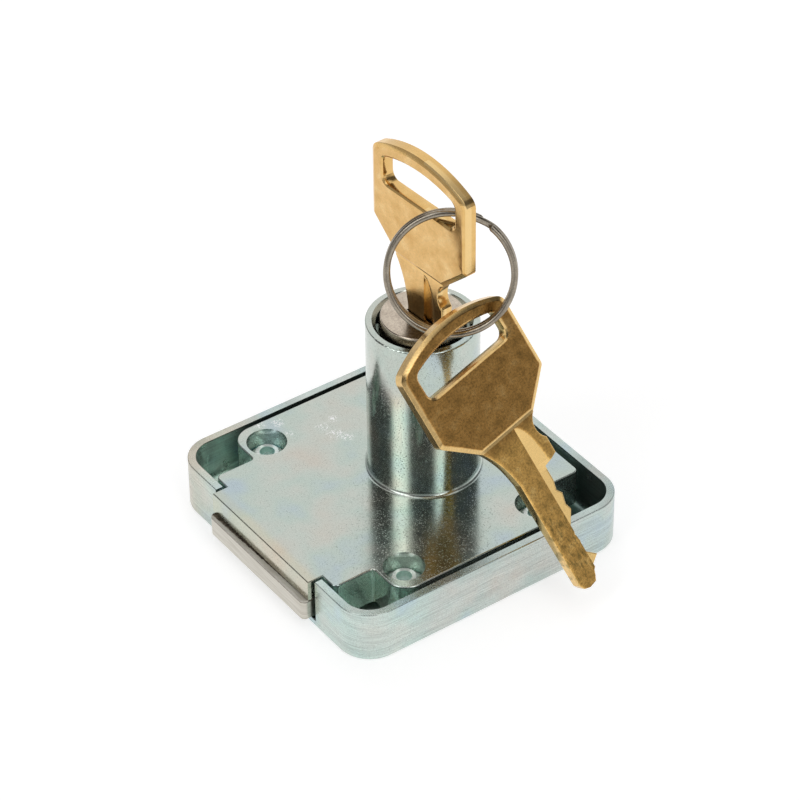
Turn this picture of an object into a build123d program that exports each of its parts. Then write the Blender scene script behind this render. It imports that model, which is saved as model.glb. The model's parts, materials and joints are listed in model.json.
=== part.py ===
from build123d import *
from math import cos, radians, sin, sqrt
import os

os.makedirs("parts", exist_ok=True)

# Frame: Z runs along the cylinder, with zero on the back of the case. The bolt throws towards -Y.

# Running gaps
running_gap = 0.05        # plug in its bore, radial
sliding_gap = 0.3         # between pieces that slide past each other
wafer_gap = 0.1           # each side of a wafer in its slot
seat_gap = 0.05           # body over the screw posts, cam on the plug's tail

# Pressed steel case
case_width = 55.0
case_length = 55.0
case_height = 9.8
case_wall = 1.4
case_corner = 6.0
case_rim_round = 0.2
case_back_round = 0.6
floor_bend = 1.6
backset = 32.5            # cylinder axis to the bolt side of the case
case_y = case_length / 2 - backset

# Screw posts drawn up from the case floor, for countersunk wood screws driven from the back
screw_spacing_x = 40.0
screw_spacing_y = 27.0
screw_hole_r = 1.3
post_r = 3.9
post_wall = 1.3
post_straight_top = 5.8
post_tip_r = 2.2
post_tip_round = 0.3
post_foot_round = 0.3
screw_places = [
    (sx * screw_spacing_x / 2, case_y + sy * screw_spacing_y / 2)
    for sx in (-1, 1)
    for sy in (-1, 1)
]

# Die-cast body: deck, tower and bolt guide
deck_proud = 0.1
deck_top = case_height + deck_proud
body_depth = 7.0
body_bottom = deck_top - body_depth
body_side_gap = 0.95
body_back_gap = 1.5
body_front_gap = 0.5
body_half_width = case_width / 2 - case_wall - body_side_gap
body_back = case_length - backset - case_wall - body_back_gap
body_front = -backset + case_wall + body_front_gap
body_neck_half = 17.5
lobe_reach = 4.35         # past the screw centre, front and back
lobe_round = 3.8
neck_round = 1.0
inner_round = 0.6         # inside corners between neck and lobes
deck_edge_round = 0.25
well_r = 3.5
well_step = 0.85          # counterbore above the straight part of a post
core_long = 6.0           # coring pockets in the underside
core_short = 4.4
core_web = 2.0
core_roof = 2.0

# Tower and cylinder bore
tower_r = 9.5
tower_height = 30.1
tower_top = deck_top + tower_height
tower_foot_round = 0.7
tower_rim_round = 0.25
bore_r = 6.05
recess_r = 7.8
recess_depth = 3.0
rim_mouth_r = 8.4
rim_mouth_depth = 0.7
recess_floor = tower_top - recess_depth

# Bolt
bolt_half_width = 13.9
bolt_thickness = 4.1
bolt_proud = 2.0          # past the bolt side of the case when retracted
bolt_body_length = 27.2
bolt_corner = 1.0
bolt_edge = 0.3
bolt_lower_edge = 0.5
tail_half_width = 9.0
tail_thickness = 2.0
tail_behind_slot = 2.5
tail_slot_corner = 0.5
bolt_floor_gap = 0.35
bolt_roof_gap = 0.2
bolt_bottom = case_wall + bolt_floor_gap
bolt_top = bolt_bottom + bolt_thickness
bolt_front = -backset - bolt_proud
bolt_back = bolt_front + bolt_body_length
guide_half_width = bolt_half_width + sliding_gap
guide_top = bolt_top + bolt_roof_gap
guide_back = 12.0
rail_width = 1.1
window_side_gap = 0.7     # beside the bolt
apron_side_gap = 0.55     # beside the body's apron
window_half_width = bolt_half_width + window_side_gap
apron_half_width = window_half_width - apron_side_gap
apron_proud = 1.0         # past the bolt side of the case

# Crank that moves the bolt: half a turn of the plug throws it by twice the crank radius
crank_r = 4.0
crank_pin_r = 1.5
crank_rivet_r = 1.2
crank_play = 0.95         # slot beyond the pin, fore and aft
crank_side_play = 0.4
cam_r = 6.5
cam_thickness = 1.7
cam_top = guide_top - sliding_gap
cam_bottom = cam_top - cam_thickness
stop_inner = 7.4
stop_outer = 9.2
stop_height = 1.6
stop_side_gap = 0.2
stop_half_angle = 9.0
stop_slack = 2.5          # degrees at each end of the half turn
plug_turn = 180.0
crank_pin_bottom = bolt_bottom + 0.15

# Cylinder plug
plug_r = bore_r - running_gap
head_proud = 1.0
head_r = 7.0
head_base_r = 7.4
head_round = 0.25
head_bottom = recess_floor + sliding_gap
head_top = tower_top + head_proud
plug_bottom = guide_top + sliding_gap
shoulder_r = 4.5
tail_r = 3.0
tail_half_flat = 2.2
tail_proud = 0.1

# Key. Heights are measured from its tip, widths from the middle of its blade
key_turned = 3.6          # degrees of the keyway from +X
key_offset = 0.5          # middle of the blade from the cylinder axis
blade_half = 3.0
blade_thickness = 2.2
back_shoulder_out = 0.35
bow_thickness = 2.6
key_depth = 20.8          # tip below the top of the plug's head
key_tip_height = head_top - key_depth
shoulder_height = 21.8
shoulder_slope = 0.6
shoulder_half = 5.7
collar_height = 25.5
neck_height = 28.3
neck_half = 4.75
back_shoulder_height = 23.8
back_neck_height = 26.9
back_neck_half = 4.2
bow_start_height = 30.4
bow_start_half = 6.0
bow_half = 11.8
bow_side_bottom = 35.7
bow_side_top = 49.2
bow_height = 52.3
bow_corner = 2.0
bow_bevel = 0.35
slot_half = 9.0
slot_bottom = 43.1
slot_top = 49.7
slot_side_top = 48.1
slot_corner = 1.5
flute_side = 1.2          # inner wall of the wide milled flute
flute_top = 30.0
flute_depth = 0.6
flute_end_r = 1.6
flute_outside = shoulder_half + 1
back_flute_side = -1.7
back_flute_width = 1.1
back_flute_depth = 0.4
tip_profile = [           # width from the middle of the blade, height from the tip
    (-blade_half, 1.3),
    (-2.5, 0.4),
    (-1.5, 0.0),
    (0.1, 0.2),
    (0.55, 1.0),
]
cut_profile = [
    (0.9, 1.9),
    (3.05, 3.5),
    (1.35, 5.3),
    (1.75, 7.3),
    (1.1, 9.0),
    (1.6, 10.3),
    (3.15, 12.7),
    (2.75, 13.9),
    (3.25, 15.9),
    (2.6, 16.9),
    (3.05, 18.6),
    (3.05, 21.5),
]
highest_cut = max(width for width, height in cut_profile)
keyway_gap = 0.15

# Wafers
wafer_count = 5
wafer_pitch = 2.8
wafer_thickness = 1.2
wafer_inset = 2.6         # side of a wafer, from the barrel
wafer_half = plug_r - wafer_inset
wafer_travel = 0.9
wafer_window_corner = 0.3
wafer_end_r = plug_r - wafer_gap
first_wafer_above_tip = 4.2
first_wafer_height = key_tip_height + first_wafer_above_tip
lug_inset = 1.1
lug_reach = plug_r - lug_inset
lug_width = 1.0
lug_start = -0.9
pocket_start = lug_start - wafer_travel - sliding_gap
pocket_end = 2.4
spring_r = 0.6
spring_bore_r = 0.35
locking_groove_r = 7.3
locking_groove_half = wafer_half + sliding_gap + 0.2
retainer_height = 11.3
retainer_half = 2.5
retainer_reach = 6.9
retainer_length = 5.6
retainer_spring_length = 2.5
retainer_groove_r = 7.2

# Key ring and the spare key that hangs from it. Angles run round the ring from its level
# diameter; places in a key's slot are measured in from its end and up from its straight edge
ring_r = 10.22
ring_wire_r = 0.57
ring_pitch = 1.08
ring_yaw = -39.0          # of its axis from +X
ring_rise = 17.8          # of its axis above level
ring_held_angle = 94.6
ring_from_slot_end = 3.4
ring_above_slot_edge = 1.4
spare_held_angle = 295.0
spare_from_slot_end = 3.8
spare_above_slot_edge = 4.15
spare_yaw = 1.6           # its face, from +X
spare_lean = 29.5         # its face, above level
spare_roll = 13.7


def level_plane(height):
    """Level plane turned with the keyway."""
    turned = radians(key_turned)
    return Plane(origin=(0, 0, height), x_dir=(cos(turned), sin(turned), 0), z_dir=(0, 0, 1))


def spring_end(height, along, across):
    """Plane at the start of a spring that lies along the keyway's direction."""
    level = level_plane(height)
    return Plane(
        origin=level.from_local_coords(Vector(along, across, 0)),
        x_dir=level.y_dir,
        z_dir=level.x_dir,
    )


def upright_plane(x, y, angle=0.0):
    """Upright plane through a vertical axis, for turned profiles: radius, then height."""
    return Plane(
        origin=(x, y, 0),
        x_dir=(cos(radians(angle)), sin(radians(angle)), 0),
        z_dir=(sin(radians(angle)), -cos(radians(angle)), 0),
    )


def tilted_plane(origin, yaw, lean, roll):
    """Plane that faces along a direction given by yaw and lean, rolled about it."""
    yaw, lean, roll = radians(yaw), radians(lean), radians(roll)
    level = Vector(-sin(yaw), cos(yaw), 0)
    uphill = Vector(-cos(yaw) * sin(lean), -sin(yaw) * sin(lean), cos(lean))
    facing = Vector(cos(yaw) * cos(lean), sin(yaw) * cos(lean), sin(lean))
    across = level * cos(roll) + uphill * sin(roll)
    return Plane(origin=origin, x_dir=across, z_dir=facing)


# Case: a drawn box with four posts and a window for the bolt
post_cone_top = post_straight_top + post_r - post_tip_r
post_top = post_cone_top + post_tip_round
cone_shift = post_wall * sqrt(2)
head_bore_r = post_r - post_wall
head_bore_top = post_straight_top + post_r - cone_shift - head_bore_r
screw_seat_top = head_bore_top + head_bore_r - screw_hole_r

with BuildPart() as case_shell:
    with BuildSketch():
        with Locations((0, case_y)):
            RectangleRounded(case_width, case_length, case_corner)
    extrude(amount=case_height)
    fillet(case_shell.edges().group_by(Axis.Z)[0], case_back_round)
    with BuildSketch(Plane.XY.offset(case_wall)):
        with Locations((0, case_y)):
            RectangleRounded(
                case_width - 2 * case_wall,
                case_length - 2 * case_wall,
                case_corner - case_wall,
            )
    extrude(amount=case_height, mode=Mode.SUBTRACT)
    fillet(case_shell.edges().filter_by_position(Axis.Z, case_wall, case_wall), floor_bend)
    fillet(case_shell.faces().sort_by(Axis.Z)[-1].outer_wire().edges(), case_rim_round)
    with BuildSketch(Plane.XY.offset(case_wall)):
        with Locations((0, -backset)):
            Rectangle(2 * window_half_width, 2 * (case_wall + floor_bend))
    extrude(amount=case_height, mode=Mode.SUBTRACT)
    for x, y in screw_places:
        with BuildSketch(upright_plane(x, y)):
            with BuildLine():
                Polyline(
                    (0, case_wall / 2),
                    (post_r + post_foot_round, case_wall / 2),
                    (post_r + post_foot_round, case_wall),
                )
                RadiusArc(
                    (post_r + post_foot_round, case_wall),
                    (post_r, case_wall + post_foot_round),
                    post_foot_round,
                )
                Polyline(
                    (post_r, case_wall + post_foot_round),
                    (post_r, post_straight_top),
                    (post_tip_r, post_cone_top),
                )
                ThreePointArc(
                    (post_tip_r, post_cone_top),
                    (post_tip_r - 0.3 * post_tip_round, post_top - 0.3 * post_tip_round),
                    (post_tip_r - post_tip_round, post_top),
                )
                Polyline((post_tip_r - post_tip_round, post_top), (0, post_top), (0, case_wall / 2))
            make_face()
        revolve(axis=Axis((x, y, 0), (0, 0, 1)))
        with BuildSketch(upright_plane(x, y)):
            with BuildLine():
                Polyline(
                    (0, -1),
                    (head_bore_r, -1),
                    (head_bore_r, head_bore_top),
                    (screw_hole_r, screw_seat_top),
                    (screw_hole_r, post_top + 1),
                    (0, post_top + 1),
                    close=True,
                )
            make_face()
        revolve(axis=Axis((x, y, 0), (0, 0, 1)), mode=Mode.SUBTRACT)
case_shell.part.label = "case_shell"
export_step(case_shell.part, "parts/case_shell.step")

# Body: deck with lobes round the screw wells, an apron through the case window, and the tower
lobe_front = case_y - screw_spacing_y / 2 - lobe_reach
lobe_back = case_y + screw_spacing_y / 2 + lobe_reach
apron_face = -backset - apron_proud
half_outline = [
    (apron_half_width, apron_face),
    (apron_half_width, body_front),
    (body_neck_half, body_front),
    (body_neck_half, lobe_front),
    (body_half_width, lobe_front),
    (body_half_width, lobe_back),
    (body_neck_half, lobe_back),
    (body_neck_half, body_back),
]
body_outline = half_outline + [(-x, y) for x, y in reversed(half_outline)]

with BuildPart() as lock_body:
    with BuildSketch(Plane.XY.offset(body_bottom)) as deck_plan:
        with BuildLine():
            Polyline(*body_outline, close=True)
        make_face()
        lobe_corners = [v for v in deck_plan.vertices() if abs(abs(v.X) - body_half_width) < 0.01]
        fillet(lobe_corners, lobe_round)
        neck_corners = [
            v
            for v in deck_plan.vertices()
            if abs(abs(v.X) - body_neck_half) < 0.01 and not lobe_front - 1 < v.Y < lobe_back + 1
        ]
        fillet(neck_corners, neck_round)
        inner_corners = [v for v in deck_plan.vertices() if abs(abs(v.X) - body_neck_half) < 0.01]
        fillet(inner_corners, inner_round)
    extrude(amount=body_depth)
    fillet(lock_body.faces().sort_by(Axis.Z)[-1].edges(), deck_edge_round)
    with BuildSketch(Plane.XY.offset(deck_top)):
        Circle(tower_r)
    extrude(amount=tower_height)
    fillet(lock_body.edges().filter_by(GeomType.CIRCLE).sort_by(Axis.Z)[-1], tower_rim_round)
    tower_foot = [
        e
        for e in lock_body.edges().filter_by(GeomType.CIRCLE)
        if abs(e.radius - tower_r) < 0.01 and abs(e.center().Z - deck_top) < 0.01
    ]
    fillet(tower_foot, tower_foot_round)
    # Guide for the bolt, with a rail on each side that stands on the case floor
    with BuildSketch(Plane.XY.offset(body_bottom)):
        with Locations((0, (apron_face - 1 + guide_back) / 2)):
            Rectangle(2 * guide_half_width, guide_back - apron_face + 1)
    extrude(amount=guide_top - body_bottom, mode=Mode.SUBTRACT)
    rail_front = -backset + case_wall + floor_bend + seat_gap
    with BuildSketch(Plane.XY.offset(case_wall)):
        for side in (-1, 1):
            with Locations((side * (guide_half_width + rail_width / 2), (rail_front + guide_back) / 2)):
                Rectangle(rail_width, guide_back - rail_front)
    extrude(amount=body_bottom - case_wall)
    # Screw wells over the posts
    with Locations(Plane(origin=(0, case_y, body_bottom), x_dir=(1, 0, 0), z_dir=(0, 0, -1))):
        with GridLocations(screw_spacing_x, screw_spacing_y, 2, 2):
            CounterBoreHole(
                radius=well_r,
                counter_bore_radius=post_r + seat_gap,
                counter_bore_depth=post_straight_top + well_step - body_bottom,
                depth=body_depth + 1,
            )
    # Coring pockets
    with BuildSketch(Plane.XY.offset(body_bottom)):
        with Locations((0, (guide_back + body_back) / 2)):
            with GridLocations(core_long + core_web, 1, 4, 1):
                Rectangle(core_long, core_short)
        with Locations((0, case_y)):
            with GridLocations(screw_spacing_x + 1, core_long + core_web, 2, 2):
                Rectangle(core_short, core_long)
    extrude(amount=body_depth - core_roof, mode=Mode.SUBTRACT)
    # Bore, retainer groove, recess and mouth of the tower
    groove_low = retainer_height - wafer_thickness / 2 - sliding_gap
    groove_high = retainer_height + wafer_thickness / 2 + sliding_gap
    with BuildSketch(upright_plane(0, 0)):
        with BuildLine():
            Polyline(
                (0, body_bottom),
                (bore_r, body_bottom),
                (bore_r, groove_low),
                (retainer_groove_r, groove_low),
                (retainer_groove_r, groove_high),
                (bore_r, groove_high),
                (bore_r, recess_floor),
                (recess_r, recess_floor),
                (recess_r, tower_top - rim_mouth_depth),
                (rim_mouth_r, tower_top),
                (rim_mouth_r, tower_top + 1),
                (0, tower_top + 1),
                close=True,
            )
        make_face()
    revolve(axis=Axis.Z, mode=Mode.SUBTRACT)
    # Grooves that the wafers spring into, on both sides of the bore
    locking_groove_bottom = first_wafer_height - wafer_thickness
    with BuildSketch(level_plane(locking_groove_bottom)):
        Rectangle(2 * locking_groove_r, 2 * locking_groove_half)
    extrude(amount=recess_floor - locking_groove_bottom, mode=Mode.SUBTRACT)
    # Half-ring groove for the cam's stop lug
    stop_start = -stop_half_angle - stop_slack
    with BuildSketch(upright_plane(0, 0, stop_start)):
        with Locations(((stop_inner + stop_outer) / 2, guide_top + stop_height / 2)):
            Rectangle(stop_outer - stop_inner + 2 * stop_side_gap, stop_height)
    revolve(axis=Axis.Z, revolution_arc=plug_turn + 2 * (stop_half_angle + stop_slack), mode=Mode.SUBTRACT)
lock_body.part.label = "lock_body"
export_step(lock_body.part, "parts/lock_body.step")

# Bolt with its thinner tail plate, slotted across for the crank pin
slot_side = crank_pin_r + crank_side_play
slot_back = crank_r + crank_pin_r + crank_play
tail_end = slot_back + tail_behind_slot
with BuildPart() as bolt:
    with BuildSketch(Plane.XY.offset(bolt_bottom)):
        with Locations((0, (bolt_front + bolt_back) / 2)):
            Rectangle(2 * bolt_half_width, bolt_back - bolt_front)
    extrude(amount=bolt_thickness)
    fillet(bolt.edges().filter_by(Axis.Z).group_by(Axis.Y)[0], bolt_corner)
    front_bottom, front_top = [
        [e for e in bolt.edges().group_by(Axis.Z)[level] if e.center().Y < bolt_front + bolt_corner]
        for level in (0, -1)
    ]
    fillet(front_bottom, bolt_lower_edge)
    fillet(front_top, bolt_edge)
    with BuildSketch(Plane.XY.offset(bolt_bottom)):
        with Locations((0, (bolt_back - 1 + tail_end) / 2)):
            Rectangle(2 * tail_half_width, tail_end - bolt_back + 1)
    extrude(amount=tail_thickness)
    with BuildSketch(Plane.XY.offset(bolt_bottom)):
        with Locations((-crank_r / 2, crank_r)):
            RectangleRounded(crank_r + 2 * slot_side, 2 * (crank_pin_r + crank_play), tail_slot_corner)
    extrude(amount=tail_thickness, mode=Mode.SUBTRACT)
bolt.part.label = "bolt"
export_step(bolt.part, "parts/bolt.step")

# Plug: head, barrel and flatted tail, with the keyway, the wafer slots and their spring pockets
keyway_back = -blade_half - keyway_gap
keyway_front = highest_cut + keyway_gap
keyway_half = blade_thickness / 2 + keyway_gap
lug_inner = wafer_half - 0.3
spring_middle = (wafer_half + lug_reach) / 2
pocket_middle = spring_middle + wafer_gap / 2
spring_seat = 0.05        # gap at each end of a spring
lug_end = lug_start + lug_width
wafer_heights = [first_wafer_height + i * wafer_pitch for i in range(wafer_count)]
spring_sides = [1 if i % 2 == 0 else -1 for i in range(wafer_count)]

with BuildPart() as cylinder_plug:
    with BuildSketch(upright_plane(0, 0)):
        with BuildLine():
            Polyline(
                (0, plug_bottom),
                (plug_r, plug_bottom),
                (plug_r, head_bottom),
                (head_base_r, head_bottom),
                (head_r, head_top),
                (0, head_top),
                close=True,
            )
        make_face()
    revolve(axis=Axis.Z)
    fillet(cylinder_plug.edges().filter_by(GeomType.CIRCLE).sort_by(Axis.Z)[-1], head_round)
    with BuildSketch(Plane.XY.offset(cam_top)):
        Circle(shoulder_r)
    extrude(amount=plug_bottom - cam_top)
    with BuildSketch(Plane.XY.offset(cam_bottom - tail_proud)):
        Circle(tail_r)
        Rectangle(2 * tail_r, 2 * tail_half_flat, mode=Mode.INTERSECT)
    extrude(amount=cam_thickness + tail_proud)
    # Keyway, with a ward that fits the key's wide flute
    ward_back = flute_side + keyway_gap
    ward_face = blade_thickness / 2 - flute_depth + keyway_gap
    with BuildSketch(level_plane(key_tip_height - sliding_gap)):
        with Locations((key_offset + (keyway_back + keyway_front) / 2, 0)):
            Rectangle(keyway_front - keyway_back, 2 * keyway_half)
        with Locations((key_offset + (ward_back + keyway_front) / 2, -(keyway_half + ward_face) / 2)):
            Rectangle(keyway_front - ward_back, keyway_half - ward_face, mode=Mode.SUBTRACT)
    extrude(amount=head_top, mode=Mode.SUBTRACT)
    for height, side in zip(wafer_heights, spring_sides):
        slot_height = wafer_thickness + 2 * wafer_gap
        with BuildSketch(level_plane(height - slot_height / 2)):
            Rectangle(2 * bore_r, 2 * (wafer_half + wafer_gap))
            with Locations(((pocket_start + pocket_end) / 2, side * pocket_middle)):
                Rectangle(pocket_end - pocket_start, lug_reach + wafer_gap - wafer_half)
        extrude(amount=slot_height, mode=Mode.SUBTRACT)
    # Blind slot for the retainer wafer and its spring
    retainer_end = retainer_length - retainer_reach + retainer_spring_length + wafer_gap
    with BuildSketch(level_plane(retainer_height - wafer_thickness / 2 - wafer_gap)):
        with Locations(((retainer_end - bore_r) / 2, 0)):
            Rectangle(retainer_end + bore_r, 2 * (retainer_half + wafer_gap))
    extrude(amount=wafer_thickness + 2 * wafer_gap, mode=Mode.SUBTRACT)
cylinder_plug.part.label = "cylinder_plug"
export_step(cylinder_plug.part, "parts/cylinder_plug.step")

# Cam on the plug's tail, with a stop lug that runs in the body's half-ring groove
with BuildPart() as drive_cam:
    with BuildSketch(Plane.XY.offset(cam_bottom)):
        Circle(cam_r)
        with Locations((cam_r, 0)):
            Rectangle(2 * (stop_outer - cam_r), 2 * stop_outer * sin(radians(stop_half_angle)))
    extrude(amount=cam_thickness)
    with BuildSketch(Plane.XY.offset(cam_top)):
        with Locations(((stop_inner + stop_outer) / 2, 0)):
            Rectangle(stop_outer - stop_inner, 2 * stop_inner * sin(radians(stop_half_angle)))
    extrude(amount=guide_top - cam_top + stop_height - sliding_gap)
    with BuildSketch(Plane.XY.offset(cam_bottom)):
        Circle(tail_r + seat_gap)
        Rectangle(2 * tail_r + 1, 2 * (tail_half_flat + seat_gap), mode=Mode.INTERSECT)
        with Locations((0, crank_r)):
            Circle(crank_rivet_r + seat_gap)
    extrude(amount=cam_thickness, mode=Mode.SUBTRACT)
drive_cam.part.label = "drive_cam"
export_step(drive_cam.part, "parts/drive_cam.step")

with BuildPart() as crank_pin:
    with BuildSketch(Plane.XY.offset(crank_pin_bottom)):
        with Locations((0, crank_r)):
            Circle(crank_pin_r)
    extrude(amount=cam_bottom - crank_pin_bottom)
    with BuildSketch(Plane.XY.offset(cam_bottom)):
        with Locations((0, crank_r)):
            Circle(crank_rivet_r)
    extrude(amount=cam_thickness)
crank_pin.part.label = "crank_pin"
export_step(crank_pin.part, "parts/crank_pin.step")

# Wafers: flush with the plug while the key is in, each pushed out by a spring beside it
window_back = key_offset - blade_half - sliding_gap
window_front = key_offset + highest_cut + wafer_travel + wafer_gap
window_half = blade_thickness / 2 + sliding_gap
for i, (height, side) in enumerate(zip(wafer_heights, spring_sides), start=1):
    with BuildPart() as wafer:
        with BuildSketch(level_plane(height - wafer_thickness / 2)):
            Circle(wafer_end_r)
            Rectangle(2 * wafer_end_r, 2 * wafer_half, mode=Mode.INTERSECT)
            with Locations((lug_start + lug_width / 2, side * (lug_inner + lug_reach) / 2)):
                Rectangle(lug_width, lug_reach - lug_inner)
            with Locations(((window_back + window_front) / 2, 0)):
                RectangleRounded(
                    window_front - window_back,
                    2 * window_half,
                    wafer_window_corner,
                    mode=Mode.SUBTRACT,
                )
        extrude(amount=wafer_thickness)
    wafer.part.label = f"wafer_{i}"
    export_step(wafer.part, f"parts/wafer_{i}.step")
    with BuildPart() as wafer_spring:
        with BuildSketch(spring_end(height, lug_end + spring_seat, side * spring_middle)):
            Circle(spring_r)
            Circle(spring_bore_r, mode=Mode.SUBTRACT)
        extrude(amount=pocket_end - lug_end - 2 * spring_seat)
    wafer_spring.part.label = f"wafer_spring_{i}"
    export_step(wafer_spring.part, f"parts/wafer_spring_{i}.step")

with BuildPart() as retainer_wafer:
    with BuildSketch(level_plane(retainer_height - wafer_thickness / 2)):
        with Locations((-retainer_reach + retainer_length / 2, 0)):
            Rectangle(retainer_length, 2 * retainer_half)
        Circle(retainer_reach, mode=Mode.INTERSECT)
    extrude(amount=wafer_thickness)
retainer_wafer.part.label = "retainer_wafer"
export_step(retainer_wafer.part, "parts/retainer_wafer.step")

with BuildPart() as retainer_spring:
    with BuildSketch(spring_end(retainer_height, retainer_length - retainer_reach + spring_seat, 0)):
        Circle(spring_r)
        Circle(spring_bore_r, mode=Mode.SUBTRACT)
    extrude(amount=retainer_spring_length - spring_seat)
retainer_spring.part.label = "retainer_spring"
export_step(retainer_spring.part, "parts/retainer_spring.step")


def cut_key(face, tip):
    """Key cut from one blank: face is its middle plane, tip the height of its tip there."""
    blade_end = [(width, tip + height) for width, height in tip_profile + cut_profile]
    with BuildPart() as key:
        # Thick bow with bevelled edges
        with BuildSketch(face) as bow:
            with BuildLine():
                Polyline(
                    (-bow_half, tip + bow_side_top),
                    (-bow_half, tip + bow_side_bottom),
                    (-bow_start_half, tip + bow_start_height),
                    (bow_start_half, tip + bow_start_height),
                    (bow_half, tip + bow_side_bottom),
                    (bow_half, tip + bow_side_top),
                )
                ThreePointArc(
                    (bow_half, tip + bow_side_top),
                    (0, tip + bow_height),
                    (-bow_half, tip + bow_side_top),
                )
            make_face()
            fillet(bow.vertices().group_by(Axis.Y)[-1], bow_corner)
        extrude(amount=bow_thickness / 2, both=True)
        bow_outside = [
            e
            for e in key.edges()
            if abs(abs(face.to_local_coords(e.center()).Z) - bow_thickness / 2) < 0.01
        ]
        chamfer(bow_outside, bow_bevel)
        # Thinner blade and neck
        with BuildSketch(face):
            with BuildLine():
                Polyline(
                    *blade_end,
                    (shoulder_half, tip + shoulder_height + shoulder_slope),
                    (shoulder_half, tip + collar_height),
                )
                ThreePointArc(
                    (shoulder_half, tip + collar_height),
                    (neck_half, tip + neck_height),
                    (bow_start_half, tip + bow_start_height),
                )
                Polyline(
                    (bow_start_half, tip + bow_start_height),
                    (bow_start_half, tip + bow_side_bottom),
                    (-bow_start_half, tip + bow_side_bottom),
                    (-bow_start_half, tip + bow_start_height),
                )
                ThreePointArc(
                    (-bow_start_half, tip + bow_start_height),
                    (-back_neck_half, tip + back_neck_height),
                    (-blade_half - back_shoulder_out, tip + back_shoulder_height),
                )
                Polyline(
                    (-blade_half - back_shoulder_out, tip + back_shoulder_height),
                    (-blade_half, tip + shoulder_height),
                    blade_end[0],
                )
            make_face()
        extrude(amount=blade_thickness / 2, both=True)
        # Slot for the ring
        with BuildSketch(face.offset(-bow_thickness)) as opening:
            with BuildLine():
                Polyline(
                    (-slot_half, tip + slot_side_top),
                    (-slot_half, tip + slot_bottom),
                    (slot_half, tip + slot_bottom),
                    (slot_half, tip + slot_side_top),
                )
                ThreePointArc(
                    (slot_half, tip + slot_side_top),
                    (0, tip + slot_top),
                    (-slot_half, tip + slot_side_top),
                )
            make_face()
            fillet(opening.vertices(), slot_corner)
        extrude(amount=2 * bow_thickness, mode=Mode.SUBTRACT)
        # Wide flute on the front of the blade, narrow one on the back
        with BuildSketch(face.offset(blade_thickness / 2 - flute_depth)):
            with BuildLine():
                Polyline(
                    (flute_outside, tip + flute_top - flute_end_r),
                    (flute_outside, tip - 1),
                    (flute_side, tip - 1),
                    (flute_side, tip + flute_top - flute_end_r),
                )
                ThreePointArc(
                    (flute_side, tip + flute_top - flute_end_r),
                    (flute_side + flute_end_r, tip + flute_top),
                    (flute_outside, tip + flute_top - flute_end_r),
                )
            make_face()
        extrude(amount=bow_thickness, mode=Mode.SUBTRACT)
        with BuildSketch(face.offset(back_flute_depth - blade_thickness / 2)):
            with Locations((back_flute_side + back_flute_width / 2, tip + collar_height / 2)):
                Rectangle(back_flute_width, collar_height + 2)
        extrude(amount=-bow_thickness, mode=Mode.SUBTRACT)
    return key.part


def ring_point(angle):
    """Point on the ring's middle line, in its own plane."""
    return Vector(ring_r * cos(radians(angle)), ring_r * sin(radians(angle)), 0)


key_axis = level_plane(0).from_local_coords(Vector(key_offset, 0, 0))
key_face = upright_plane(key_axis.X, key_axis.Y, key_turned)
key_in_lock = cut_key(key_face, key_tip_height)
key_in_lock.label = "key_in_lock"
export_step(key_in_lock, "parts/key_in_lock.step")

# Split ring through the slot of the inserted key: two turns of wire pressed together
ring_height = key_tip_height + slot_bottom + ring_above_slot_edge
ring_held = key_face.from_local_coords(Vector(slot_half - ring_from_slot_end, ring_height, 0))
ring_facing = tilted_plane((0, 0, 0), ring_yaw, ring_rise, 0)
ring_centre = ring_held - ring_facing.from_local_coords(ring_point(ring_held_angle))
with BuildPart() as split_ring:
    with BuildSketch(Plane(origin=ring_centre, x_dir=ring_facing.x_dir, z_dir=-ring_facing.y_dir)):
        for side in (-1, 1):
            with Locations((ring_r, side * ring_pitch / 2)):
                Circle(ring_wire_r)
    revolve(axis=Axis(ring_centre, ring_facing.z_dir))
split_ring.part.label = "split_ring"
export_step(split_ring.part, "parts/split_ring.step")

# Spare key hanging in the ring, with its plane's origin at its tip
spare_held = ring_centre + ring_facing.from_local_coords(ring_point(spare_held_angle))
spare_facing = tilted_plane((0, 0, 0), spare_yaw, spare_lean, spare_roll)
spare_slot_place = Vector(slot_half - spare_from_slot_end, slot_bottom + spare_above_slot_edge, 0)
spare_tip = spare_held - spare_facing.from_local_coords(spare_slot_place)
spare_key = cut_key(tilted_plane(spare_tip, spare_yaw, spare_lean, spare_roll), 0)
spare_key.label = "spare_key"
export_step(spare_key, "parts/spare_key.step")
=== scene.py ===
import json
import math

import bpy
import numpy as np
from mathutils import Matrix, Vector


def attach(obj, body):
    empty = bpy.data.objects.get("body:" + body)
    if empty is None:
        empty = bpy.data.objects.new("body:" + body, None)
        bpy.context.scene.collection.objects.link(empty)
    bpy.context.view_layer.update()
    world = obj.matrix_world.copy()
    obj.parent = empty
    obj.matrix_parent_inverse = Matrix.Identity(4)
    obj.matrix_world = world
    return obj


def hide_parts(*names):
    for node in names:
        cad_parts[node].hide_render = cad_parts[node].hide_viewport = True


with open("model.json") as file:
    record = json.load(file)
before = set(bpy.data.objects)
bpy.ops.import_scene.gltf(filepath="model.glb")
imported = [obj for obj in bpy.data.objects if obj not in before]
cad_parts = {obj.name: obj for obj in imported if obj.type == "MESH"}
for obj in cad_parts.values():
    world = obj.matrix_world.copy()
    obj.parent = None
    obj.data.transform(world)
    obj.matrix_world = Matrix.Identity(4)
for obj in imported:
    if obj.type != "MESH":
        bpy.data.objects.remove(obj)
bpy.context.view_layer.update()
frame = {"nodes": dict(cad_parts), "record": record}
mm = 0.001  # every size below is written in millimetres, and this turns it to metres
fullTurn = 2 * math.pi
print("frame loaded:", len(frame["nodes"]), "nodes")


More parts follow.
